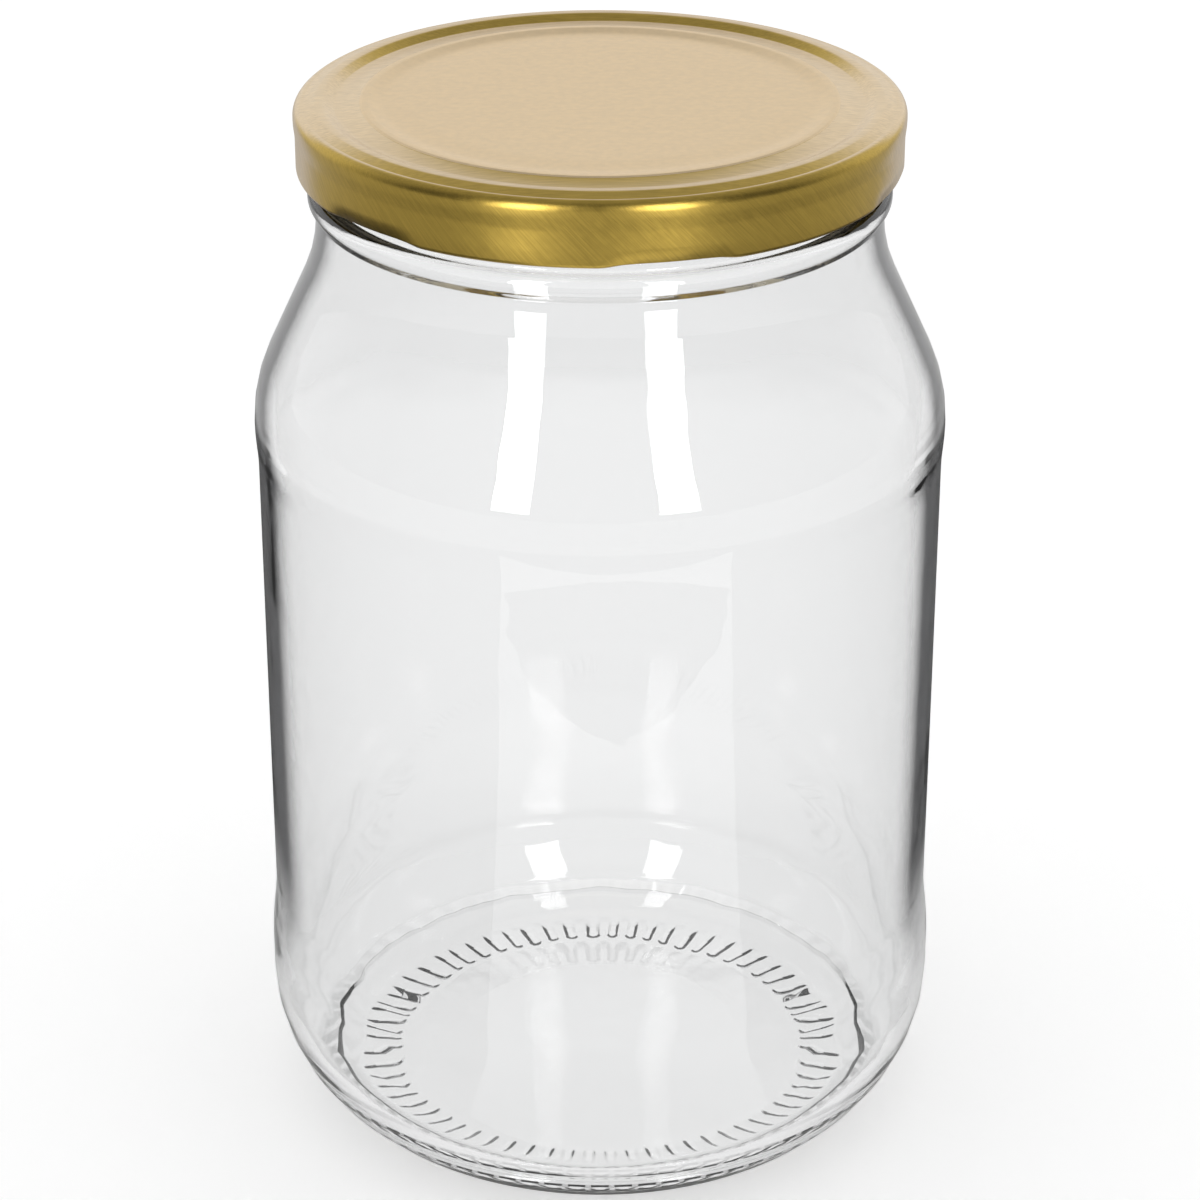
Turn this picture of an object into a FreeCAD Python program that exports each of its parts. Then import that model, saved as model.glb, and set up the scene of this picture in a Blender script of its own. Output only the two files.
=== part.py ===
import FreeCAD, Part
import math
import os
import Sketcher

# A 900 ml preserving jar with an 82 mm twist-off cap.
# The origin is the middle of the base, on the surface that the jar stands on, and +Z is up.
# The jar is a body of revolution with six thread ridges moulded on its finish.
# The cap is pressed from thin tinplate: its curled hem carries six lugs that hook under the ridges.
# A ring of soft compound lies in the cap's channel and seals on the lip of the glass.

doc = FreeCAD.newDocument("preserving_jar")

# Driving dimensions, in millimetres and degrees.
dimensions = {
    # base, from the middle outwards
    "pushup_height": 2.2,
    "pushup_rim_radius": 23.0,
    "pushup_rim_height": 1.0,
    "pushup_rim_bend": 10.0,
    "bearing_inner_radius": 30.4,
    "heel_radius": 38.9,
    "heel_height": 9.6,
    "heel_bend": 23.0,
    "heel_foot_bend": 9.0,
    "base_floor_height": 4.6,
    "base_floor_middle": 5.8,
    "inner_heel_bend": 11.0,
    # side wall: two contact rings with the recessed label panel between them
    "heel_ring_radius": 50.3,
    "heel_ring_top": 27.0,
    "panel_radius": 49.5,
    "panel_bottom": 34.0,
    "panel_top": 105.0,
    "shoulder_ring_radius": 49.85,
    "shoulder_ring_bottom": 108.5,
    "ring_blend": 30.0,
    "wall_inner_radius": 47.1,
    # shoulder and neck
    "shoulder_corner_height": 115.1,
    "shoulder_bend": 22.0,
    "neck_radius": 40.0,
    "neck_corner_height": 136.2,
    "neck_bend": 24.0,
    "inner_shoulder_height": 114.8,
    "inner_shoulder_bend": 19.0,
    "inner_neck_height": 137.7,
    "inner_neck_bend": 24.0,
    # transfer bead and finish
    "bead_radius": 41.15,
    "bead_bottom": 142.1,
    "bead_corner_height": 143.6,
    "bead_top": 145.9,
    "bead_round": 1.4,
    "finish_radius": 38.95,
    "mouth_radius": 36.4,
    "lip_height": 156.0,
    "lip_outer_round": 1.1,
    "lip_inner_round": 0.8,
    "small_round": 0.5,
    # knurl: grooves across the bearing ring leave the bars that the jar stands on
    "knurl_count": 76,
    "knurl_inner_radius": 31.6,
    "knurl_outer_radius": 38.9,
    "knurl_depth": 0.45,
    "knurl_cutter_radius": 1.0,
    # thread ridges, each a level run that the lug rests under and a sloping run up to its start
    "lug_count": 6,
    "lug_azimuth": 283.0,
    "ridge_depth": 0.7,
    "ridge_reach": 40.5,
    "ridge_bottom": 149.25,
    "ridge_height": 1.7,
    "ridge_tip_height": 0.8,
    "ridge_level_angle": 22.0,
    "ridge_slope_angle": 40.0,
    "ridge_rise": 2.6,
    # cap, seen from its middle outwards; a drop is measured down from the cap's highest ring
    "cap_height": 157.6,
    "gauge": 0.25,
    "centre_panel_radius": 26.0,
    "centre_panel_drop": 0.6,
    "dish_radius": 30.3,
    "dish_drop": 0.75,
    "panel_lip_inner": 32.3,
    "panel_lip_outer": 33.1,
    "panel_lip_drop": 0.24,
    "panel_step_radius": 33.5,
    "panel_step_drop": 0.4,
    "channel_inner": 36.3,
    "channel_outer": 37.0,
    "channel_drop": 0.75,
    "crest_inner": 38.6,
    "crest_outer": 39.6,
    "crease_radius": 41.3,
    "panel_sweep": 12.0,
    "crest_round": 1.6,
    "press_round": 0.8,
    "press_round_small": 0.35,
    "shoulder_drop": 0.5,
    "shoulder_round": 1.4,
    "cap_radius": 42.8,
    "cap_waist_drop": 2.8,
    "skirt_radius": 42.6,
    "skirt_drop": 4.6,
    "skirt_bend": 6.0,
    "curl_height": 148.5,
    "curl_radius": 0.7,
    "curl_end_angle": 110.0,
    # lugs, pressed inward out of the curled hem
    "lug_reach": 39.5,
    "lug_bottom": 148.15,
    "lug_top": 149.33,
    "lug_round": 0.4,
    "lug_angle": 24.0,
    "notch_depth": 0.65,
    "notch_width": 16.0,
    "notch_inner_radius": 41.0,
    "notch_length": 3.0,
    # sealing compound
    "seal_inner_radius": 35.4,
    "seal_outer_radius": 41.2,
    "seal_lip_radius": 39.1,
    "seal_skirt_bottom": 155.2,
    "seal_round": 0.3,
}

sheet = doc.addObject("Spreadsheet::Sheet", "Sizes")
for row, (alias, value) in enumerate(dimensions.items(), start=1):
    sheet.set("A%d" % row, alias.replace("_", " "))
    sheet.set("B%d" % row, str(value))
    sheet.setAlias("B%d" % row, alias)
doc.recompute()


class Size:
    # A size taken from the sheet: its number, and the expression that keeps it bound to the sheet.
    def __init__(self, value, text):
        self.value = value
        self.text = text

    def combine(self, other, sign, operation):
        if not isinstance(other, Size):
            other = Size(float(other), repr(float(other)))
        return Size(operation(self.value, other.value), "(%s %s %s)" % (self.text, sign, other.text))

    def __add__(self, other):
        return self.combine(other, "+", lambda a, b: a + b)

    def __sub__(self, other):
        return self.combine(other, "-", lambda a, b: a - b)

    def __mul__(self, other):
        return self.combine(other, "*", lambda a, b: a * b)

    def __truediv__(self, other):
        return self.combine(other, "/", lambda a, b: a / b)


def size(alias):
    return Size(float(sheet.get(alias)), "Sizes." + alias)


def bind(feature, **properties):
    # Sets each property to its size and ties it to the sheet.
    for name, wanted in properties.items():
        setattr(feature, name, wanted.value)
        feature.setExpression(name, wanted.text)


def originPart(body, role):
    return next(item for item in body.Origin.OriginFeatures if item.Role == role)


def addBody(name):
    body = doc.addObject("PartDesign::Body", name)
    body.Label = name
    return body


def addSketch(body, name, role, offset=None):
    sketch = body.newObject("Sketcher::SketchObject", name)
    sketch.AttachmentSupport = [(originPart(body, role), "")]
    sketch.MapMode = "FlatFace"
    if offset is not None:
        sketch.AttachmentOffset = offset
    return sketch


def constrain(sketch, kind, *arguments):
    # A dimension whose last argument is a Size follows the sheet.
    if isinstance(arguments[-1], Size):
        wanted = arguments[-1]
        index = sketch.addConstraint(Sketcher.Constraint(kind, *arguments[:-1], wanted.value))
        sketch.setExpression("Constraints[%d]" % index, wanted.text)
    else:
        sketch.addConstraint(Sketcher.Constraint(kind, *arguments))


def roundCorner(before, corner, after, radius):
    # Tangent points and centre of the arc that rounds a corner between two straight sides.
    along = (before - corner).normalize()
    onward = (after - corner).normalize()
    half = along.getAngle(onward) / 2
    reach = radius / math.tan(half)
    centre = corner + (along + onward).normalize() * (radius / math.sin(half))
    return corner + along * reach, centre, corner + onward * reach


def drawOutline(sketch, corners):
    # A closed outline of straight sides through corners (x, y) or (x, y, radius of its rounding).
    # A corner whose x is None lies on the sketch's vertical axis.
    origin = -1
    verticalAxis = -2
    start = 1
    end = 2
    points = [FreeCAD.Vector(0 if c[0] is None else c[0].value, c[1].value, 0) for c in corners]
    count = len(corners)
    leave = []
    arrive = []
    arcs = []
    for i, corner in enumerate(corners):
        here = points[i]
        if len(corner) < 3:
            arrive.append(here)
            leave.append(here)
            arcs.append(None)
            continue
        first, centre, last = roundCorner(points[i - 1], here, points[(i + 1) % count], corner[2].value)
        arrive.append(first)
        leave.append(last)
        turn = (first - centre).cross(last - centre).z
        spans = [math.atan2(p.y - centre.y, p.x - centre.x) for p in (first, last)]
        if turn < 0:
            spans.reverse()
        circle = Part.Circle(centre, FreeCAD.Vector(0, 0, 1), corner[2].value)
        arc = sketch.addGeometry(Part.ArcOfCircle(circle, spans[0], spans[1]), False)
        arcs.append((arc, start if turn > 0 else end, end if turn > 0 else start))
    sides = []
    for i in range(count):
        side = Part.LineSegment(leave[i], arrive[(i + 1) % count])
        sides.append(sketch.addGeometry(side, False))
    for i, corner in enumerate(corners):
        before = sides[i - 1]
        after = sides[i]
        if arcs[i] is None:
            constrain(sketch, "Coincident", before, end, after, start)
            place = (after, start)
        else:
            arc, first, last = arcs[i]
            point = sketch.addGeometry(Part.Point(points[i]), True)
            constrain(sketch, "PointOnObject", point, start, before)
            constrain(sketch, "PointOnObject", point, start, after)
            constrain(sketch, "Tangent", before, end, arc, first)
            constrain(sketch, "Tangent", arc, last, after, start)
            constrain(sketch, "Radius", arc, corner[2])
            place = (point, start)
        if corner[0] is None:
            constrain(sketch, "PointOnObject", place[0], place[1], verticalAxis)
        else:
            constrain(sketch, "DistanceX", origin, start, place[0], place[1], corner[0])
        constrain(sketch, "DistanceY", origin, start, place[0], place[1], corner[1])


def revolve(body, name, sketch, angle=None):
    # A full turn about the sketch's vertical axis, or an angle centred on the sketch.
    feature = body.newObject("PartDesign::Revolution", name)
    feature.Profile = sketch
    feature.ReferenceAxis = (sketch, ["V_Axis"])
    if angle is None:
        feature.Angle = 360
    else:
        feature.Midplane = True
        bind(feature, Angle=angle)
    return feature


def repeatRound(body, name, features, count):
    pattern = body.newObject("PartDesign::PolarPattern", name)
    pattern.Originals = features
    pattern.Axis = (originPart(body, "Z_Axis"), [""])
    pattern.Angle = 360
    pattern.Occurrences = int(count.value)
    pattern.setExpression("Occurrences", count.text)
    body.Tip = pattern
    return pattern


def requireCut(feature, before, after):
    # A pocket that points away from the solid takes nothing and gives no error.
    if before - after < 0.1:
        raise ValueError("%s cuts nothing" % feature.Name)


def turned(angle):
    # Turns a sketch on the XZ plane about the jar's axis, to the azimuth wanted.
    return FreeCAD.Placement(FreeCAD.Vector(), FreeCAD.Rotation(FreeCAD.Vector(0, 1, 0), angle))


def addRidge(body):
    # One thread ridge: a level run over the closed lug, then a helical run up to the ridge's start.
    azimuth = size("lug_azimuth")
    half = size("ridge_level_angle") / 2
    root = size("finish_radius") - size("ridge_depth")
    low = size("ridge_bottom")
    inset = (size("ridge_height") - size("ridge_tip_height")) / 2
    ridgeCorners = [
        (root, low),
        (size("finish_radius"), low),
        (size("ridge_reach"), low + inset * 0.5),
        (size("ridge_reach"), low + inset * 1.5 + size("ridge_tip_height")),
        (root, low + size("ridge_height") + size("ridge_depth")),
    ]
    level = addSketch(body, "ridge_level_section", "XZ_Plane", turned(azimuth.value))
    drawOutline(level, ridgeCorners)
    run = revolve(body, "ridge_level_run", level, size("ridge_level_angle"))
    doc.recompute()

    slope = addSketch(body, "ridge_slope_section", "XZ_Plane", turned(azimuth.value + half.value))
    drawOutline(slope, ridgeCorners)
    climb = body.newObject("PartDesign::AdditiveHelix", "ridge_slope_run")
    climb.Profile = slope
    climb.ReferenceAxis = (slope, ["V_Axis"])
    climb.Mode = "height-turns-angle"
    bind(climb, Height=size("ridge_rise"), Turns=size("ridge_slope_angle") / 360)
    climb.Angle = 0
    doc.recompute()
    return [run, climb]


def addKnurl(body):
    # One groove across the bearing ring: a round-bottomed channel that runs out on the bend of the foot.
    reach = size("knurl_outer_radius") - size("knurl_inner_radius")
    offset = FreeCAD.Placement(FreeCAD.Vector(0, 0, size("knurl_inner_radius").value), FreeCAD.Rotation())
    profile = addSketch(body, "knurl_section", "YZ_Plane", offset)
    profile.setExpression("AttachmentOffset.Base.z", size("knurl_inner_radius").text)
    radius = size("knurl_cutter_radius")
    drop = radius - size("knurl_depth")
    circle = Part.Circle(FreeCAD.Vector(0, -drop.value, 0), FreeCAD.Vector(0, 0, 1), radius.value)
    cutter = profile.addGeometry(circle, False)
    constrain(profile, "PointOnObject", cutter, 3, -2)
    constrain(profile, "DistanceY", cutter, 3, -1, 1, drop)
    constrain(profile, "Radius", cutter, radius)
    before = body.Shape.Volume
    groove = body.newObject("PartDesign::Pocket", "knurl_groove")
    groove.Profile = profile
    groove.Type = "Length"
    bind(groove, Length=reach)
    groove.Reversed = True
    doc.recompute()
    requireCut(groove, before, body.Shape.Volume)
    return [groove]


def buildGlass():
    body = addBody("jar_glass")
    section = addSketch(body, "glass_section", "XZ_Plane")
    tiny = size("small_round")
    blend = size("ring_blend")
    ground = size("pushup_height") * 0
    drawOutline(section, [
        (None, size("pushup_height")),
        (size("pushup_rim_radius"), size("pushup_rim_height"), size("pushup_rim_bend")),
        (size("bearing_inner_radius"), ground, tiny * 2),
        (size("heel_radius"), ground, size("heel_foot_bend")),
        (size("heel_ring_radius"), size("heel_height"), size("heel_bend")),
        (size("heel_ring_radius"), size("heel_ring_top"), blend),
        (size("panel_radius"), size("panel_bottom"), blend),
        (size("panel_radius"), size("panel_top"), blend),
        (size("shoulder_ring_radius"), size("shoulder_ring_bottom"), blend),
        (size("shoulder_ring_radius"), size("shoulder_corner_height"), size("shoulder_bend")),
        (size("neck_radius"), size("neck_corner_height"), size("neck_bend")),
        (size("neck_radius"), size("bead_bottom"), tiny),
        (size("bead_radius"), size("bead_corner_height"), size("bead_round")),
        (size("bead_radius"), size("bead_top"), size("bead_round")),
        (size("finish_radius"), size("bead_top"), tiny),
        (size("finish_radius"), size("lip_height"), size("lip_outer_round")),
        (size("mouth_radius"), size("lip_height"), size("lip_inner_round")),
        (size("mouth_radius"), size("inner_neck_height"), size("inner_neck_bend")),
        (size("wall_inner_radius"), size("inner_shoulder_height"), size("inner_shoulder_bend")),
        (size("wall_inner_radius"), size("base_floor_height"), size("inner_heel_bend")),
        (None, size("base_floor_middle")),
    ])
    revolve(body, "glass_wall", section)
    doc.recompute()
    repeatRound(body, "thread_ridges", addRidge(body), size("lug_count"))
    doc.recompute()
    repeatRound(body, "knurl", addKnurl(body), size("knurl_count"))
    doc.recompute()
    return body


def faceBelow(shape, height):
    # The name of the lowest flat face, which is the open underside of the blank.
    for number, face in enumerate(shape.Faces, start=1):
        box = face.BoundBox
        if abs(box.ZMax - height) < 0.01 and abs(box.ZMin - height) < 0.01:
            return "Face%d" % number
    raise ValueError("no flat face at height %g" % height)


def addCurl(body):
    # The hem curls inward and up from the bottom of the skirt, as a strip of the sheet's own thickness.
    sketch = addSketch(body, "curl_section", "XZ_Plane")
    radius = size("curl_radius")
    inner = radius - size("gauge")
    across = size("skirt_radius") - radius
    up = size("curl_height")
    centre = FreeCAD.Vector(across.value, up.value, 0)
    normal = FreeCAD.Vector(0, 0, 1)
    openAngle = math.radians(size("curl_end_angle").value)
    arcs = []
    for ring in (radius, inner):
        circle = Part.Circle(centre, normal, ring.value)
        arcs.append(sketch.addGeometry(Part.ArcOfCircle(circle, openAngle, 2 * math.pi), False))
    outer, core = arcs
    direction = FreeCAD.Vector(math.cos(openAngle), math.sin(openAngle), 0)
    tip = sketch.addGeometry(Part.LineSegment(
        centre + direction * inner.value, centre + direction * radius.value), False)
    root = sketch.addGeometry(Part.LineSegment(
        centre + FreeCAD.Vector(inner.value, 0, 0), centre + FreeCAD.Vector(radius.value, 0, 0)), False)
    constrain(sketch, "Coincident", outer, 3, core, 3)
    constrain(sketch, "DistanceX", -1, 1, outer, 3, across)
    constrain(sketch, "DistanceY", -1, 1, outer, 3, up)
    constrain(sketch, "Radius", outer, radius)
    constrain(sketch, "Radius", core, inner)
    constrain(sketch, "Coincident", outer, 1, tip, 2)
    constrain(sketch, "Coincident", core, 1, tip, 1)
    constrain(sketch, "Coincident", outer, 2, root, 2)
    constrain(sketch, "Coincident", core, 2, root, 1)
    constrain(sketch, "Horizontal", root)
    constrain(sketch, "PointOnObject", outer, 3, root)
    constrain(sketch, "PointOnObject", outer, 3, tip)
    index = sketch.addConstraint(Sketcher.Constraint("Angle", tip, openAngle))
    sketch.setExpression("Constraints[%d]" % index, size("curl_end_angle").text + " * 1 deg")
    return revolve(body, "curled_hem", sketch)


def addLug(body):
    # One lug: a tongue of the hem pressed flat and inward, with the shallow notch that this leaves below.
    azimuth = size("lug_azimuth").value
    section = addSketch(body, "lug_section", "XZ_Plane", turned(azimuth))
    low = size("lug_bottom")
    high = size("lug_top")
    outside = size("skirt_radius") - size("gauge") / 2
    drawOutline(section, [
        (size("lug_reach"), low, size("lug_round")),
        (size("skirt_radius") - size("curl_radius"), low),
        (outside, size("curl_height") - size("curl_radius") / 2),
        (outside, high),
        (size("lug_reach"), high, size("lug_round")),
    ])
    tongue = revolve(body, "lug_tongue", section, size("lug_angle"))
    doc.recompute()

    depth = size("notch_depth")
    width = size("notch_width")
    bend = (width * width / 4 + depth * depth) / (depth * 2)
    drop = bend - depth
    hem = size("curl_height") - size("curl_radius")
    start = size("notch_inner_radius")
    turn = FreeCAD.Rotation(FreeCAD.Vector(0, 1, 0), azimuth)
    offset = FreeCAD.Placement(turn.multVec(FreeCAD.Vector(0, 0, start.value)), turn)
    sketch = addSketch(body, "notch_section", "YZ_Plane", offset)
    circle = Part.Circle(FreeCAD.Vector(0, hem.value - drop.value, 0), FreeCAD.Vector(0, 0, 1), bend.value)
    cutter = sketch.addGeometry(circle, False)
    constrain(sketch, "PointOnObject", cutter, 3, -2)
    constrain(sketch, "DistanceY", -1, 1, cutter, 3, hem - drop)
    constrain(sketch, "Radius", cutter, bend)
    before = body.Shape.Volume
    notch = body.newObject("PartDesign::Pocket", "hem_notch")
    notch.Profile = sketch
    notch.Type = "Length"
    notch.Reversed = True
    bind(notch, Length=size("notch_length"))
    doc.recompute()
    requireCut(notch, before, body.Shape.Volume)
    return [tongue, notch]


def buildCap():
    body = addBody("lid")
    top = size("cap_height")
    soft = size("press_round")
    tight = size("press_round_small")
    bend = size("skirt_bend")
    blank = addSketch(body, "cap_outline", "XZ_Plane")
    drawOutline(blank, [
        (None, size("curl_height")),
        (size("skirt_radius"), size("curl_height")),
        (size("skirt_radius"), top - size("skirt_drop"), bend),
        (size("cap_radius"), top - size("cap_waist_drop"), bend),
        (size("cap_radius"), top - size("shoulder_drop"), size("shoulder_round")),
        (size("crease_radius"), top - size("shoulder_drop"), tight),
        (size("crest_outer"), top, size("crest_round")),
        (size("crest_inner"), top, size("crest_round")),
        (size("channel_outer"), top - size("channel_drop"), soft),
        (size("channel_inner"), top - size("channel_drop"), soft),
        (size("panel_step_radius"), top - size("panel_step_drop"), tight),
        (size("panel_lip_outer"), top - size("panel_lip_drop"), tight),
        (size("panel_lip_inner"), top - size("panel_lip_drop"), soft),
        (size("dish_radius"), top - size("dish_drop"), soft),
        (size("centre_panel_radius"), top - size("centre_panel_drop"), size("panel_sweep")),
        (None, top - size("centre_panel_drop")),
    ])
    solid = revolve(body, "cap_blank", blank)
    doc.recompute()
    shell = body.newObject("PartDesign::Thickness", "pressed_sheet")
    shell.Base = (solid, [faceBelow(solid.Shape, size("curl_height").value)])
    shell.Mode = "Skin"
    shell.Join = "Arc"
    shell.Reversed = True
    bind(shell, Value=size("gauge"))
    doc.recompute()
    addCurl(body)
    doc.recompute()
    repeatRound(body, "lugs", addLug(body), size("lug_count"))
    doc.recompute()
    return body


def buildSeal():
    body = addBody("lid_seal")
    under = size("cap_height") - size("channel_drop") - size("gauge")
    section = addSketch(body, "seal_section", "XZ_Plane")
    edge = size("seal_round")
    drawOutline(section, [
        (size("seal_inner_radius"), size("lip_height"), edge),
        (size("seal_lip_radius"), size("lip_height")),
        (size("seal_lip_radius"), size("seal_skirt_bottom"), edge),
        (size("seal_outer_radius"), size("seal_skirt_bottom"), edge),
        (size("seal_outer_radius"), under),
        (size("seal_inner_radius"), under),
    ])
    revolve(body, "seal_ring", section)
    doc.recompute()
    return body


def checkDocument(bodies):
    for item in doc.Objects:
        if "Invalid" in item.State or "Error" in item.State:
            raise ValueError("%s failed: %s" % (item.Name, item.State))
    for body in bodies:
        if body.Shape.isNull() or not body.Shape.isValid() or len(body.Shape.Solids) != 1:
            raise ValueError("%s is not one valid solid" % body.Label)


bodies = [buildGlass(), buildSeal(), buildCap()]
doc.recompute()
checkDocument(bodies)
os.makedirs("parts", exist_ok=True)
for body in bodies:
    body.Shape.exportStep(os.path.join("parts", body.Label + ".step"))
    print("%s: %.1f cm3" % (body.Label, body.Shape.Volume / 1000))
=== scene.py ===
import bmesh
import bpy
import math
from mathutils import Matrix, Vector, noise


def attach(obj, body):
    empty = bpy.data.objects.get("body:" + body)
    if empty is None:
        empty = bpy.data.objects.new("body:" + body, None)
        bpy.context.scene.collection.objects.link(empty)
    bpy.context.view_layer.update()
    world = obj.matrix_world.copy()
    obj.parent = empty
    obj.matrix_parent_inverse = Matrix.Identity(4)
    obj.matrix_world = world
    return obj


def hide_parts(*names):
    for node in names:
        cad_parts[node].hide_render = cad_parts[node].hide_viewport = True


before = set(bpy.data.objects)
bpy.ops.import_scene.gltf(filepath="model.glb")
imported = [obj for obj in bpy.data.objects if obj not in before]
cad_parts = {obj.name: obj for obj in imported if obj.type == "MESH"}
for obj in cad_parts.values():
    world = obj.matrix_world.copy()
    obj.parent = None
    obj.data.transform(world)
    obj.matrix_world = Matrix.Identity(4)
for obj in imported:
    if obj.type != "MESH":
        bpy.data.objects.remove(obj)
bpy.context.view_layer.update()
mm = 0.001
white = (1.0, 1.0, 1.0, 1.0)
black = (0.0, 0.0, 0.0, 1.0)

print("frame loaded, nodes:", ", ".join(sorted(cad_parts)))


def smoothStep(low, high, value):
    t = min(max((value - low) / (high - low), 0.0), 1.0)
    return t * t * (3.0 - 2.0 * t)


def roundedPath(corners, arcStep, longest):
    # corners are (radius, height) or (radius, height, rounding), in millimetres
    points = [Vector((corner[0], corner[1])) for corner in corners]
    path = []
    for i, corner in enumerate(corners):
        here = points[i]
        if len(corner) < 3 or i in (0, len(corners) - 1):
            stretch = [here]
        else:
            back = (points[i - 1] - here).normalized()
            onward = (points[i + 1] - here).normalized()
            half = back.angle(onward) / 2
            first = here + back * (corner[2] / math.tan(half))
            centre = here + (back + onward).normalized() * (corner[2] / math.sin(half))
            turn = math.pi - 2 * half
            side = 1 if back.cross(onward) < 0 else -1
            steps = max(2, math.ceil(turn / arcStep))
            arm = first - centre
            stretch = []
            for k in range(steps + 1):
                angle = side * turn * k / steps
                c, s = math.cos(angle), math.sin(angle)
                stretch.append(centre + Vector((arm.x * c - arm.y * s, arm.x * s + arm.y * c)))
        if path:
            start = path[-1]
            pieces = max(1, math.ceil((stretch[0] - start).length / longest))
            for k in range(1, pieces):
                path.append(start.lerp(stretch[0], k / pieces))
        if path and (stretch[0] - path[-1]).length < 1e-4:
            stretch = stretch[1:]
        path.extend(stretch)
    return path


def spin(name, rings, segments, place):
    # rings are (radius, height); place(index, radius, height, angle) gives the moved radius and height
    vertices = []
    starts = []
    for index, (radius, height) in enumerate(rings):
        starts.append(len(vertices))
        if radius < 1e-6:
            z = place(index, radius, height, 0.0)[1]
            vertices.append((0.0, 0.0, z * mm))
            continue
        for k in range(segments):
            angle = 2 * math.pi * k / segments
            r, z = place(index, radius, height, angle)
            vertices.append((r * mm * math.cos(angle), r * mm * math.sin(angle), z * mm))
    faces = []
    for index in range(len(rings) - 1):
        a, b = starts[index], starts[index + 1]
        lone = rings[index][0] < 1e-6
        loneNext = rings[index + 1][0] < 1e-6
        for k in range(segments):
            n = (k + 1) % segments
            if lone:
                faces.append((a, b + k, b + n))
            elif loneNext:
                faces.append((a + k, b, a + n))
            else:
                faces.append((a + k, b + k, b + n, a + n))
    mesh = bpy.data.meshes.new(name)
    mesh.from_pydata(vertices, [], faces)
    mesh.validate()
    shell = bmesh.new()
    shell.from_mesh(mesh)
    bmesh.ops.recalc_face_normals(shell, faces=shell.faces)
    shell.to_mesh(mesh)
    shell.free()
    mesh.shade_smooth()
    return addObject(name, mesh)


def addObject(name, data):
    thing = bpy.data.objects.new(name, data)
    bpy.context.scene.collection.objects.link(thing)
    return thing


def newMaterial(name):
    material = bpy.data.materials.new(name)
    material.use_nodes = True
    tree = material.node_tree
    tree.nodes.clear()
    output = tree.nodes.new("ShaderNodeOutputMaterial")
    shader = tree.nodes.new("ShaderNodeBsdfPrincipled")
    tree.links.new(shader.outputs["BSDF"], output.inputs["Surface"])
    return material, tree, shader


def ramp(tree, source, ends, out=(0.0, 1.0), kind="SMOOTHSTEP"):
    # runs from out[0] to out[1] while the source runs between its two ends
    node = tree.nodes.new("ShaderNodeMapRange")
    node.interpolation_type = kind
    node.inputs["From Min"].default_value = ends[0]
    node.inputs["From Max"].default_value = ends[1]
    node.inputs["To Min"].default_value = out[0]
    node.inputs["To Max"].default_value = out[1]
    tree.links.new(source, node.inputs["Value"])
    return node.outputs["Result"]


def plug(tree, value, socket):
    # a value is either another node's output or a plain number or colour
    if isinstance(value, bpy.types.NodeSocket):
        tree.links.new(value, socket)
    else:
        socket.default_value = value


def combine(tree, operation, a, b):
    node = tree.nodes.new("ShaderNodeMath")
    node.operation = operation
    plug(tree, a, node.inputs[0])
    plug(tree, b, node.inputs[1])
    return node.outputs["Value"]


def blend(tree, factor, a, b, kind="FLOAT"):
    node = tree.nodes.new("ShaderNodeMix")
    node.data_type = kind
    plug(tree, factor, node.inputs["Factor"])
    plug(tree, a, node.inputs["A"])
    plug(tree, b, node.inputs["B"])
    return node.outputs["Result"]


def clouds(tree, vector, scale, detail):
    node = tree.nodes.new("ShaderNodeTexNoise")
    node.inputs["Detail"].default_value = detail
    plug(tree, scale, node.inputs["Scale"])
    tree.links.new(vector, node.inputs["Vector"])
    return node.outputs["Fac"]


def scaled(tree, vector, amount):
    node = tree.nodes.new("ShaderNodeVectorMath")
    node.operation = "SCALE"
    plug(tree, vector, node.inputs[0])
    tree.links.new(amount, node.inputs["Scale"])
    return node.outputs["Vector"]


def objectPlace(tree):
    return tree.nodes.new("ShaderNodeTexCoord").outputs["Object"]


def splitUp(tree, vector):
    node = tree.nodes.new("ShaderNodeSeparateXYZ")
    tree.links.new(vector, node.inputs["Vector"])
    return node.outputs


def addBump(tree, shader, height, strength, depth):
    bump = tree.nodes.new("ShaderNodeBump")
    bump.inputs["Strength"].default_value = strength
    bump.inputs["Distance"].default_value = depth
    tree.links.new(height, bump.inputs["Height"])
    tree.links.new(bump.outputs["Normal"], shader.inputs["Normal"])


cameraSetup = {"position": (0.0, -0.5025, 0.3231), "tilt": 64.13, "lens": 112.98, "sensor": 36.0, "nearest": 0.01}


def addCamera():
    data = bpy.data.cameras.new("jarCamera")
    data.lens = cameraSetup["lens"]
    data.sensor_width = cameraSetup["sensor"]
    data.clip_start = cameraSetup["nearest"]
    camera = addObject("jarCamera", data)
    camera.location = cameraSetup["position"]
    camera.rotation_euler = (math.radians(cameraSetup["tilt"]), 0.0, 0.0)
    bpy.context.scene.camera = camera
    print("camera placed")


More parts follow.
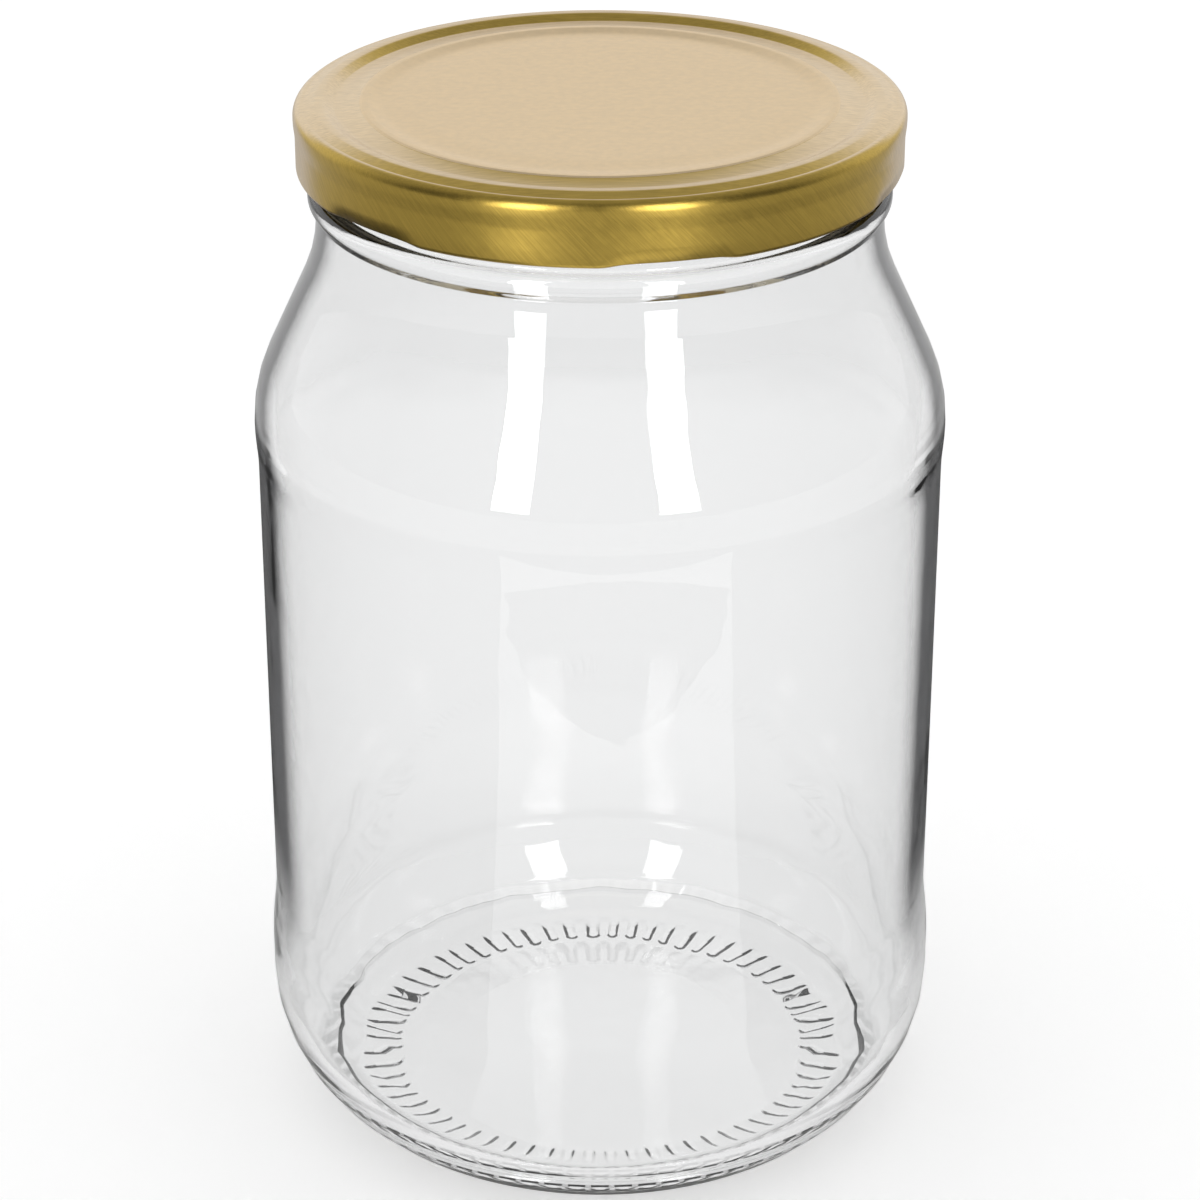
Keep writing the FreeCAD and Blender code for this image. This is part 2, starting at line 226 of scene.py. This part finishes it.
# the jar, in millimetres and degrees; the outline runs from the middle of the base up to the lip and back down inside
jar = {
    "segments": 528,
    "arcStep": math.radians(10.0),
    "longest": 7.0,
    "outer": [
        (0.0, 2.2), (23.0, 1.0, 10.0), (30.4, 0.0, 1.0), (38.9, 0.0, 9.0), (50.3, 9.6, 23.0),
        (50.3, 27.0, 30.0), (49.5, 34.0, 30.0), (49.5, 105.0, 30.0), (49.85, 108.5, 30.0),
        (49.85, 115.1, 22.0), (40.0, 136.2, 24.0), (40.0, 142.1, 0.5), (41.15, 143.6, 1.4),
        (41.15, 145.9, 1.4), (38.95, 145.9, 0.5), (38.95, 156.0, 1.1),
    ],
    "inner": [
        (36.4, 156.0, 0.8), (36.4, 137.7, 24.0), (47.05, 114.8, 19.0), (47.05, 108.5, 30.0),
        (46.7, 105.0, 30.0), (46.7, 34.0, 30.0), (47.5, 27.0, 24.0), (47.5, 12.0, 18.0),
        (39.5, 4.6, 7.5), (0.0, 5.8),
    ],
    # the short bars that it stands on
    "barCount": 66,
    "barInner": 31.7,
    "barOuter": 38.6,
    "barHalf": 0.72,
    "barEdge": 0.22,
    "barDepth": 0.45,
    "barFade": (25.0, 30.4),    # the ground between the bars runs out into the push-up here
    "barTop": 0.9,              # no bar stands higher than this
    "flatEnd": 35.62,
    "footBend": 9.0,
    "footStep": 0.4,
    "footLead": 0.9,
    "footTail": 0.5,
    # the straight glass under the cap and its thread ridges
    "finishRadius": 38.95,
    "finishSpan": (146.5, 154.8),
    "finishStart": 146.6,
    "finishStep": 0.54,
    "finishRings": 16,
    "lipInside": 38.0,
    "neckHeight": 140.0,
    "ridgeCount": 6,
    "ridgeAzimuth": 283.0,
    "ridgeReach": 1.5,
    "ridgeBottom": 149.25,
    "ridgeLevel": 22.0,
    "ridgeSlope": 40.0,
    "ridgeRise": 2.6,
    "ridgeUnder": (-0.05, 0.35),
    "ridgeOver": (1.1, 1.75),
    "ridgeLead": 1.6,
    "ridgeTail": 5.0,
    "ridgeZone": (146.0, 155.0, 39.5),
    # how uneven the wall is
    "waveOuter": 0.05,
    "waveOuterSize": (0.035, 0.02),
    "waveOuterSpan": (12.0, 138.0),
    "waveInner": 0.16,
    "waveInnerSize": (0.045, 0.022),
    "waveFine": 0.25,
    "waveFineSize": (0.12, 0.06),
    "waveStart": (8.0, 22.0),
    "waveEnd": (134.0, 150.0),
}


def ridgeHeight(angle, z):
    # how far a thread ridge stands out at this place on the finish, from 0 to 1
    step = 360.0 / jar["ridgeCount"]
    whole = jar["ridgeLevel"] + jar["ridgeSlope"]
    degrees = (math.degrees(angle) - jar["ridgeAzimuth"] + jar["ridgeLevel"] / 2) % step
    if degrees > whole:
        return 0.0
    climb = max(0.0, degrees - jar["ridgeLevel"]) / jar["ridgeSlope"] * jar["ridgeRise"]
    above = z - jar["ridgeBottom"] - climb
    across = smoothStep(*jar["ridgeUnder"], above) * (1 - smoothStep(*jar["ridgeOver"], above))
    ends = smoothStep(0.0, jar["ridgeLead"], degrees) * (1 - smoothStep(whole - jar["ridgeTail"], whole, degrees))
    return across * ends


def grooveDepth(radius, height, angle):
    # how far the glass stands back from the ground between the bars
    pitch = 2 * math.pi / jar["barCount"]
    sideways = abs((angle + pitch / 2) % pitch - pitch / 2) * radius
    short = max(0.0, jar["barInner"] + jar["barHalf"] - radius)
    inside, outside = jar["barHalf"] - jar["barEdge"], jar["barHalf"] + jar["barEdge"]
    bar = 1 - smoothStep(inside, outside, math.hypot(sideways, short))
    fade = smoothStep(*jar["barFade"], radius)
    return max(0.0, jar["barDepth"] - height * (radius > jar["flatEnd"])) * (1 - bar) * fade


def outerRings():
    path = roundedPath(jar["outer"] + [jar["inner"][0]], jar["arcStep"], jar["longest"])
    # closer rings across the finish, where the thread ridges stand
    low, high = jar["finishSpan"]
    path = [p for p in path if not (low < p.y < high and abs(p.x - jar["finishRadius"]) < 0.01)]
    lip = next(i for i, p in enumerate(path) if p.y >= high)
    finish = []
    for k in range(jar["finishRings"]):
        finish.append(Vector((jar["finishRadius"], jar["finishStart"] + jar["finishStep"] * k)))
    path = path[:lip] + finish + path[lip:-1]
    # closer rings across the bars that it stands on
    foot = []
    radius = jar["barInner"] - jar["footLead"]
    while radius < jar["barOuter"] + jar["footTail"]:
        reach = max(0.0, radius - jar["flatEnd"])
        foot.append(Vector((radius, jar["footBend"] - math.sqrt(jar["footBend"] ** 2 - reach ** 2))))
        radius += jar["footStep"]
    first = next(i for i, p in enumerate(path) if p.x > foot[0].x)
    return path[:first] + foot + [p for p in path[first:] if p.x > foot[-1].x or p.y > 1.0]


def innerRings():
    path = roundedPath([jar["outer"][-1]] + jar["inner"], jar["arcStep"], jar["longest"])
    return [p for p in path if p.x < jar["lipInside"] or p.y < jar["neckHeight"]]


def buildJar():
    outer = outerRings()
    rings = [(p.x, p.y) for p in outer + innerRings()]
    turn = len(outer)
    zoneLow, zoneHigh, zoneRadius = jar["ridgeZone"]

    def place(index, radius, height, angle):
        direction = Vector((math.cos(angle), math.sin(angle), 0.0))
        if index < turn:
            if height < jar["barTop"] and radius > jar["barFade"][0]:
                return radius, height + grooveDepth(radius, height, angle)
            if zoneLow < height < zoneHigh and radius < zoneRadius:
                return radius + jar["ridgeReach"] * ridgeHeight(angle, height), height
            if jar["waveOuterSpan"][0] < height < jar["waveOuterSpan"][1]:
                across, up = jar["waveOuterSize"]
                at = direction * (radius * across) + Vector((0, 0, height * up))
                return radius - jar["waveOuter"] * (0.5 + 0.5 * noise.noise(at)), height
            return radius, height
        across, up = jar["waveInnerSize"]
        at = direction * (radius * across) + Vector((11.0, 0, height * up))
        across, up = jar["waveFineSize"]
        fine = direction * (radius * across) + Vector((5.0, 3.0, height * up))
        wave = noise.noise(at) + jar["waveFine"] * noise.noise(fine)
        share = smoothStep(*jar["waveStart"], height) * (1 - smoothStep(*jar["waveEnd"], height))
        return radius + jar["waveInner"] * wave * share, height

    piece = spin("glassJar", rings, jar["segments"], place)
    piece.data.materials.append(glassMaterial("clearGlass", glassLook["edge"]))
    piece.data.materials.append(glassMaterial("clearGlassInside", glassLook["paintedRimShade"]))
    for face in piece.data.polygons:
        face.material_index = int(face.index >= (turn - 2) * jar["segments"])    # from the lip inwards
    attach(piece, "root")
    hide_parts("jar_glass")
    print("jar:", len(piece.data.polygons), "faces,", len(rings), "rings")


glassLook = {
    "ior": 1.5,
    "colour": (0.903, 0.905, 0.906, 1.0),
    # painted shade: the glass is a little greyer where the wall is seen at a slant
    "slant": (0.856, 0.858, 0.859, 1.0),
    "slantShadeSpan": (0.1, 0.55),
    "paintedRimShade": (0.80, 0.80, 0.80, 1.0),      # painted shade at the grazing edge of the inner wall
    "edge": (0.02, 0.02, 0.021, 1.0),    # painted shade, near black, at the grazing edge of the outer wall
    "edgeSpan": (0.62, 0.77),
    "edgeHeight": (0.008, 0.045),        # metres up; the heel stays clear
    "swell": 60.0,
    "swellStrength": 0.25,
    "swellDepth": 0.0004,
}


def glassMaterial(name, edge):
    material, tree, shader = newMaterial(name)
    shader.inputs["Transmission Weight"].default_value = 1.0
    shader.inputs["Metallic"].default_value = 0.0
    shader.inputs["IOR"].default_value = glassLook["ior"]
    shader.inputs["Roughness"].default_value = 0.0
    place = objectPlace(tree)

    # painted shade: the glass colour goes near black where long grazing looks pass through the wall, and a little
    # greyer at a slant, standing in for the dark edges of a clear jar
    facing = tree.nodes.new("ShaderNodeLayerWeight").outputs["Facing"]
    upper = ramp(tree, splitUp(tree, place)["Z"], glassLook["edgeHeight"])
    share = combine(tree, "MULTIPLY", ramp(tree, facing, glassLook["edgeSpan"]), upper)
    slantShade = ramp(tree, facing, glassLook["slantShadeSpan"], kind="LINEAR")
    clear = blend(tree, slantShade, glassLook["colour"], glassLook["slant"], "RGBA")
    tree.links.new(blend(tree, share, clear, edge, "RGBA"), shader.inputs["Base Color"])

    # the wall is never quite even
    swell = clouds(tree, place, glassLook["swell"], 2.0)
    addBump(tree, shader, swell, glassLook["swellStrength"], glassLook["swellDepth"])
    return material


# the cap, in millimetres and degrees; "top" runs from its middle out over the rim and down the skirt
cap = {
    "segments": 540,
    "arcStep": math.radians(11.0),
    "longest": 3.0,
    "gauge": 0.25,
    "top": [
        (0.0, 157.0), (26.0, 157.0, 30.0), (30.3, 156.87, 5.0), (32.3, 157.36, 1.5), (33.1, 157.36, 0.35),
        (33.5, 157.2, 0.35), (36.3, 156.85, 0.8), (37.0, 156.85, 0.8), (38.6, 157.6, 1.6),
        (39.6, 157.6, 1.6), (41.3, 157.1, 0.3), (42.8, 157.1, 1.4), (42.8, 154.8, 6.0),
        (42.6, 153.0, 6.0), (42.6, 148.5),
    ],
    "curlRadius": 0.7,
    "curlTurn": 250.0,
    "curlSteps": 16,
    "tongue": [(42.6, 148.5), (42.45, 148.38, 0.3), (39.5, 148.38, 0.42), (39.5, 149.3, 0.42), (41.9, 149.3)],
    "tongueStep": 0.6,
    "lugCount": 6,
    "lugAzimuth": 283.0,
    "lugHalf": 9.0,
    "lugBlend": 4.5,
    "dent": 0.22,               # the skirt is pinched in a little over each lug
    "dentRadius": 41.5,
    "dentTop": (148.7, 152.0),
    "dentFoot": (147.6, 148.6),
    "panelRadius": 33.4,
}


def resample(path, count):
    lengths = [0.0]
    for a, b in zip(path, path[1:]):
        lengths.append(lengths[-1] + (b - a).length)
    result = []
    for k in range(count):
        want = lengths[-1] * k / (count - 1)
        i = max(1, next((j for j, length in enumerate(lengths) if length >= want - 1e-9), len(path) - 1))
        t = (want - lengths[i - 1]) / max(lengths[i] - lengths[i - 1], 1e-9)
        result.append(path[i - 1].lerp(path[i], t))
    return result


def withInside(path):
    # the sheet's other face, one gauge further in, brought back to the middle
    inside = []
    for i, point in enumerate(path):
        ahead = path[min(i + 1, len(path) - 1)] - path[max(i - 1, 0)]
        ahead.normalize()
        inside.append(point + Vector((ahead.y, -ahead.x)) * cap["gauge"])
    inside[0].x = 0.0
    return path + inside[::-1]


def lugShare(angle):
    step = 360.0 / cap["lugCount"]
    away = (math.degrees(angle) - cap["lugAzimuth"] + step / 2) % step - step / 2
    return 1 - smoothStep(cap["lugHalf"] - cap["lugBlend"], cap["lugHalf"] + cap["lugBlend"], abs(away))


def buildCap():
    top = roundedPath(cap["top"], cap["arcStep"], cap["longest"])
    centre = Vector((cap["top"][-1][0] - cap["curlRadius"], cap["top"][-1][1]))
    curl = []
    for k in range(cap["curlSteps"] + 1):
        angle = -math.radians(cap["curlTurn"]) * k / cap["curlSteps"]
        curl.append(centre + Vector((math.cos(angle), math.sin(angle))) * cap["curlRadius"])
    tongue = resample(roundedPath(cap["tongue"], cap["arcStep"], cap["tongueStep"]), len(curl))
    plain = withInside(top[:-1] + curl)         # the rolled hem between the lugs
    pressed = withInside(top[:-1] + tongue)     # the hem pressed flat into a lug
    rings = [(p.x, p.y) for p in plain]

    def place(index, radius, height, angle):
        share = lugShare(angle)
        point = plain[index].lerp(pressed[index], share)
        if radius > cap["dentRadius"]:
            low = 1 - smoothStep(*cap["dentTop"], height)
            point.x -= cap["dent"] * share * low * smoothStep(*cap["dentFoot"], height)
        return point.x, point.y

    piece = spin("pressedCap", rings, cap["segments"], place)
    piece.data.materials.append(goldMaterial("goldTinplate", skirtLook))
    piece.data.materials.append(goldMaterial("mattPanelPaintedLight", paintedLitPanelLook))
    piece.data.materials.append(coatingMaterial("creamLacquer", insideLook))
    lastOutside = len(rings) // 2 - 1
    for face in piece.data.polygons:
        if face.index // cap["segments"] >= lastOutside:
            face.material_index = 2
        # faces inside the panel radius take the paler panel copy of the gold, painted light
        elif math.hypot(face.center.x, face.center.y) / mm < cap["panelRadius"]:
            face.material_index = 1
    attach(piece, "root")
    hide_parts("lid")
    print("cap:", len(piece.data.polygons), "faces,", len(rings), "rings")


grainLook = {
    "wound": 0.05,      # how little the skirt's grain changes up its height
    "turn": 18.0,       # which way the grain runs across the flat top, in degrees
    "drawn": 0.04,      # how far it is drawn out there
    "detail": 3.0,
    "level": (0.6, 0.9),
}


def grainGroup():
    # fine slanting rolling grain: straight across the flat top, and wound round the skirt at a slant
    group = bpy.data.node_groups.new("rollingGrain", "ShaderNodeTree")
    group.interface.new_socket("Fineness", in_out="INPUT", socket_type="NodeSocketFloat").default_value = 3000.0
    group.interface.new_socket("Slant", in_out="INPUT", socket_type="NodeSocketFloat").default_value = 22.0
    group.interface.new_socket("Grain", in_out="OUTPUT", socket_type="NodeSocketFloat")
    nodes, links = group.nodes, group.links
    enter = nodes.new("NodeGroupInput")
    leave = nodes.new("NodeGroupOutput")
    place = objectPlace(group)
    turned = nodes.new("ShaderNodeVectorRotate")
    turned.rotation_type = "Z_AXIS"
    links.new(place, turned.inputs["Vector"])
    links.new(combine(group, "MULTIPLY", splitUp(group, place)["Z"], enter.outputs["Slant"]), turned.inputs["Angle"])
    across = nodes.new("ShaderNodeVectorMath")
    across.operation = "MULTIPLY"
    across.inputs[1].default_value = (1.0, 1.0, grainLook["wound"])
    links.new(turned.outputs["Vector"], across.inputs[0])
    along = nodes.new("ShaderNodeMapping")
    along.inputs["Rotation"].default_value = (0.0, 0.0, math.radians(grainLook["turn"]))
    along.inputs["Scale"].default_value = (grainLook["drawn"], 1.0, 1.0)
    links.new(place, along.inputs["Vector"])
    side = clouds(group, across.outputs["Vector"], enter.outputs["Fineness"], grainLook["detail"])
    flat = clouds(group, along.outputs["Vector"], enter.outputs["Fineness"], grainLook["detail"])
    normal = nodes.new("ShaderNodeNewGeometry").outputs["Normal"]
    level = ramp(group, splitUp(group, normal)["Z"], grainLook["level"], kind="LINEAR")
    links.new(blend(group, level, side, flat), leave.inputs["Grain"])
    return group


skirtLook = {
    "gold": (0.52, 0.36, 0.076, 1.0),
    "paleSheen": (0.68, 0.53, 0.33, 1.0),
    "sheenTop": (0.50, 0.63),
    "sheenSide": (0.62, 0.82),
    "level": (0.5, 0.85),
    "roughness": (0.31, 0.35),
    "anisotropic": 0.6,
    "anisotropicTurn": 0.25,
    "fineness": 4500.0,
    "slant": 22.0,
    "cloud": 900.0,
    "streak": (0.84, 1.10),
    "mottle": (0.97, 1.02),
    "grainStrength": 0.35,
    "grainDepth": 0.00003,
}

# painted highlight: the flat panel gets a paler copy of the gold lacquer, standing in for the bright wall it mirrors
paintedLitPanelLook = {
    "gold": (0.77, 0.60, 0.375, 1.0),
    "paleSheen": (0.78, 0.61, 0.385, 1.0),
    "sheenTop": (0.50, 0.63),
    "sheenSide": (0.62, 0.82),
    "level": (0.5, 0.85),
    "roughness": (0.40, 0.44),
    "anisotropic": 0.0,
    "anisotropicTurn": 0.0,
    "fineness": 4500.0,
    "slant": 0.0,
    "cloud": 900.0,
    "streak": (0.98, 1.01),
    "mottle": (0.94, 1.04),
    "grainStrength": 0.35,
    "grainDepth": 0.00002,
}

middleOfNoise = (0.3, 0.7)


def goldMaterial(name, look):
    material, tree, shader = newMaterial(name)
    nodes, links = tree.nodes, tree.links
    shader.inputs["Metallic"].default_value = 1.0
    shader.inputs["Anisotropic"].default_value = look["anisotropic"]
    shader.inputs["Anisotropic Rotation"].default_value = look["anisotropicTurn"]

    # painted sheen: the lacquer colour goes pale wherever the eye meets the sheet at a low angle, sooner on the flat
    # top than on the skirt
    normal = nodes.new("ShaderNodeNewGeometry").outputs["Normal"]
    facing = nodes.new("ShaderNodeLayerWeight").outputs["Facing"]
    level = ramp(tree, splitUp(tree, normal)["Z"], look["level"])
    sheen = blend(tree, level, ramp(tree, facing, look["sheenSide"]), ramp(tree, facing, look["sheenTop"]))
    lacquerAndSheen = blend(tree, sheen, look["gold"], look["paleSheen"], "RGBA")

    grain = nodes.new("ShaderNodeGroup")
    grain.node_tree = grainTree
    grain.inputs["Fineness"].default_value = look["fineness"]
    grain.inputs["Slant"].default_value = look["slant"]
    streaks = grain.outputs["Grain"]
    cloud = clouds(tree, objectPlace(tree), look["cloud"], 4.0)
    tone = combine(tree, "MULTIPLY", ramp(tree, cloud, middleOfNoise, look["mottle"], "LINEAR"),
                   ramp(tree, streaks, middleOfNoise, look["streak"], "LINEAR"))
    links.new(scaled(tree, lacquerAndSheen, tone), shader.inputs["Base Color"])
    links.new(ramp(tree, cloud, middleOfNoise, look["roughness"], "LINEAR"), shader.inputs["Roughness"])
    addBump(tree, shader, blend(tree, level, streaks, cloud), look["grainStrength"], look["grainDepth"])
    return material


# the cream food lacquer inside the cap, and the sealing ring in its channel
insideLook = {
    "colour": (0.72, 0.66, 0.52),
    "roughness": (0.30, 0.40),
    "fineness": 900.0,
    "paintedGlow": 0.3,
    "mottle": (0.9, 1.05),
}

sealLook = {
    "colour": (0.80, 0.76, 0.66),
    "roughness": (0.40, 0.50),
    "fineness": 400.0,
    "paintedGlow": 0.2,
    "mottle": (0.9, 1.05),
}


def coatingMaterial(name, look):
    material, tree, shader = newMaterial(name)
    cloud = clouds(tree, objectPlace(tree), look["fineness"], 4.0)
    shade = scaled(tree, look["colour"], ramp(tree, cloud, (0.0, 1.0), look["mottle"], "LINEAR"))
    tree.links.new(shade, shader.inputs["Base Color"])
    # painted light: a weak glow standing in for the light that finds its way in through the glass
    tree.links.new(shade, shader.inputs["Emission Color"])
    shader.inputs["Emission Strength"].default_value = look["paintedGlow"]
    tree.links.new(ramp(tree, cloud, (0.0, 1.0), look["roughness"], "LINEAR"), shader.inputs["Roughness"])
    addBump(tree, shader, cloud, 0.3, 0.00005)
    return material


def dressSeal():
    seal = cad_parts["lid_seal"]
    seal.data.materials.clear()
    seal.data.materials.append(coatingMaterial("sealingCompound", sealLook))
    print("sealing ring dressed")


# the studio, in metres and degrees
studio = {
    "floorSize": 6.0,
    "floorColour": (0.80, 0.80, 0.80, 1.0),
    "floorGlow": 0.42,
    "dimReflectionStart": (0.07, 0.11),       # painted dark reflection: a dim ring of floor that only reflections see
    "dimReflectionEnd": (0.26, 0.32),
    "dimReflectionColour": (0.12, 0.12, 0.12, 1.0),
    "cardGlow": 1.1,
    "cardAzimuth": (-30.0, 40.0),
    "cardReach": (0.07, 0.25),
    "cardHeight": 0.0005,
    "skyDiffuse": 0.78,
    "skyFront": 0.22,
    "skyDark": 0.06,
    "skyBack": 0.36,
    "frontSide": (-0.95, -0.6),
    "backSide": (-0.3, 0.1),
    "wallTop": (0.55, 0.75),
    "wallSide": (0.05, 0.55),
    "ceiling": 0.35,
    "stripPower": 9.0,
    "stripAzimuth": (-27.0, 24.0),
    "stripDistance": 0.45,
    "stripWidth": 0.10,
    "stripBottom": 0.13,
    "stripHeight": 0.45,
}


def addSheet(name, corners, material):
    mesh = bpy.data.meshes.new(name)
    mesh.from_pydata(corners, [], [(0, 1, 2, 3)])
    mesh.materials.append(material)
    return addObject(name, mesh)


def addFloor():
    material, tree, shader = newMaterial("paleFloor")
    nodes, links = tree.nodes, tree.links
    shader.inputs["Roughness"].default_value = 0.9
    shader.inputs["Specular IOR Level"].default_value = 0.0
    # plain white to the eye, with the soft shadow kept; through the glass it is even white
    path = nodes.new("ShaderNodeLightPath")
    through = path.outputs["Is Transmission Ray"]
    base = blend(tree, through, studio["floorColour"], black, "RGBA")
    distance = nodes.new("ShaderNodeVectorMath")
    distance.operation = "LENGTH"
    links.new(objectPlace(tree), distance.inputs[0])
    away = distance.outputs["Value"]
    # painted dark reflection: glossy rays see the floor dark in a ring round the jar
    ring = combine(tree, "MULTIPLY", ramp(tree, away, studio["dimReflectionEnd"], (1.0, 0.0)),
                   ramp(tree, away, studio["dimReflectionStart"]))
    dim = combine(tree, "MULTIPLY", ring, path.outputs["Is Glossy Ray"])
    links.new(blend(tree, dim, base, studio["dimReflectionColour"], "RGBA"), shader.inputs["Base Color"])
    toEye = combine(tree, "MULTIPLY", path.outputs["Is Camera Ray"], studio["floorGlow"])
    shader.inputs["Emission Color"].default_value = white
    links.new(combine(tree, "MAXIMUM", toEye, through), shader.inputs["Emission Strength"])
    half = studio["floorSize"] / 2
    corners = [(-half, -half, 0), (half, -half, 0), (half, half, 0), (-half, half, 0)]
    floor = addSheet("floor", corners, material)


def addCard():
    # a bright card lies in front of the jar, seen only as a reflection in its wall
    left, right = studio["cardAzimuth"]
    near, far = studio["cardReach"]
    corners = []
    for azimuth, reach in ((left, near), (right, near), (right, far), (left, far)):
        turn = math.radians(azimuth)
        corners.append((reach * math.sin(turn), -reach * math.cos(turn), studio["cardHeight"]))
    material, tree, shader = newMaterial("brightCard")
    shader.inputs["Base Color"].default_value = black
    shader.inputs["Specular IOR Level"].default_value = 0.0
    shader.inputs["Emission Color"].default_value = white
    shader.inputs["Emission Strength"].default_value = studio["cardGlow"]
    card = addSheet("brightCard", corners, material)
    card.visible_camera = False
    card.visible_diffuse = False
    card.visible_transmission = False
    card.visible_shadow = False


def addSky():
    world = bpy.data.worlds.new("studioWorld")
    bpy.context.scene.world = world
    world.use_nodes = True
    tree = world.node_tree
    tree.nodes.clear()
    nodes, links = tree.nodes, tree.links
    output = nodes.new("ShaderNodeOutputWorld")
    background = nodes.new("ShaderNodeBackground")
    links.new(background.outputs["Background"], output.inputs["Surface"])
    parts = splitUp(tree, nodes.new("ShaderNodeTexCoord").outputs["Generated"])
    path = nodes.new("ShaderNodeLightPath")

    # in reflections a white wall stands behind the jar, and the front and the ceiling are dim
    wall = combine(tree, "MULTIPLY", ramp(tree, parts["Z"], studio["wallTop"], (1.0, 0.0)),
                   ramp(tree, parts["Y"], studio["wallSide"]))
    front = combine(tree, "ADD", ramp(tree, parts["Y"], studio["frontSide"], (studio["skyFront"], studio["skyDark"])),
                    ramp(tree, parts["Y"], studio["backSide"], (0.0, studio["skyBack"])))
    seen = blend(tree, wall, front, 1.0)
    lit = blend(tree, path.outputs["Is Glossy Ray"], studio["skyDiffuse"], seen)
    # through the glass the wall is white all round
    around = ramp(tree, parts["Z"], studio["wallTop"], (1.0, studio["ceiling"]))
    through = blend(tree, path.outputs["Is Transmission Ray"], lit, around)
    background.inputs["Color"].default_value = white
    links.new(blend(tree, path.outputs["Is Camera Ray"], through, 1.0), background.inputs["Strength"])


def addStrips():
    width, height, reach = studio["stripWidth"], studio["stripHeight"], studio["stripDistance"]
    for number, azimuth in enumerate(studio["stripAzimuth"]):
        data = bpy.data.lights.new("strip%d" % number, "AREA")
        data.shape = "RECTANGLE"
        data.size = width
        data.size_y = height
        data.energy = studio["stripPower"] * math.pi * width * height
        lamp = addObject("strip%d" % number, data)
        turn = math.radians(azimuth)
        lamp.location = (reach * math.sin(turn), -reach * math.cos(turn), studio["stripBottom"] + height / 2)
        lamp.rotation_euler = (math.radians(90), 0.0, turn)
        lamp.visible_diffuse = False


addCamera()
grainTree = grainGroup()
buildJar()
buildCap()
dressSeal()
addFloor()
addCard()
addSky()
addStrips()
print("studio ready")
bpy.context.scene.view_settings.view_transform = "Standard"
bpy.context.view_layer.update()
